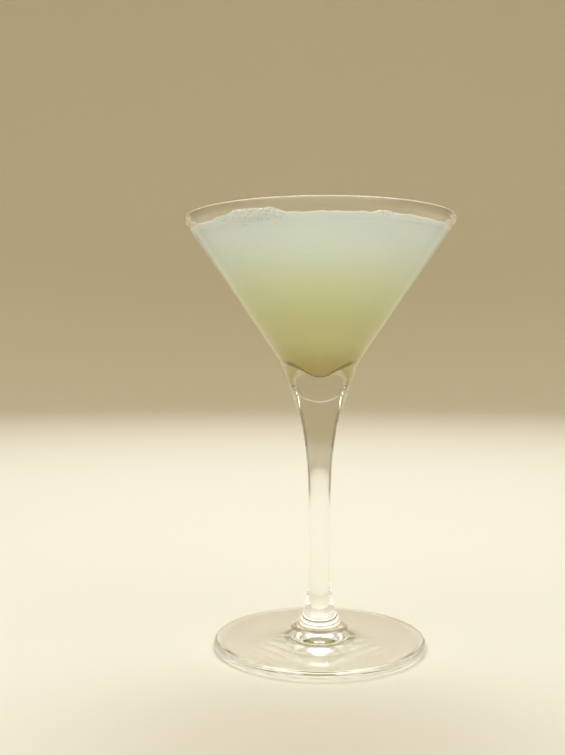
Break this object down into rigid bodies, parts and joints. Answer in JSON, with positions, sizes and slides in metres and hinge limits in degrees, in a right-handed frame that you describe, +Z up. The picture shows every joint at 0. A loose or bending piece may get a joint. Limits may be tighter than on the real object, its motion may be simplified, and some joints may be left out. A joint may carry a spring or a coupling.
{
  "type": "daiquiri in a stemmed cocktail glass",
  "caption": "Cloudy pale yellow-green cocktail with a thin white foam, filling a clear V-shaped stemmed glass almost to its rim.",
  "frame": {"origin": "centre of the ring that the foot rests on", "axes": "+Z up along the stem, -Y towards the viewer of the picture, +X to the viewer's right"},
  "size_m": [0.1034, 0.1034, 0.164],
  "materials": {
    "clear_glass": "clear polished drinking glass",
    "cloudy_drink": "cloudy liquid, whitish at the top and yellow-green at the bottom",
    "white_foam": "fine wet foam with small bubbles"
  },
  "bodies": {
    "root": {"glass": "clear_glass", "drink": "cloudy_drink", "foam": "white_foam"}
  },
  "joints": []
}
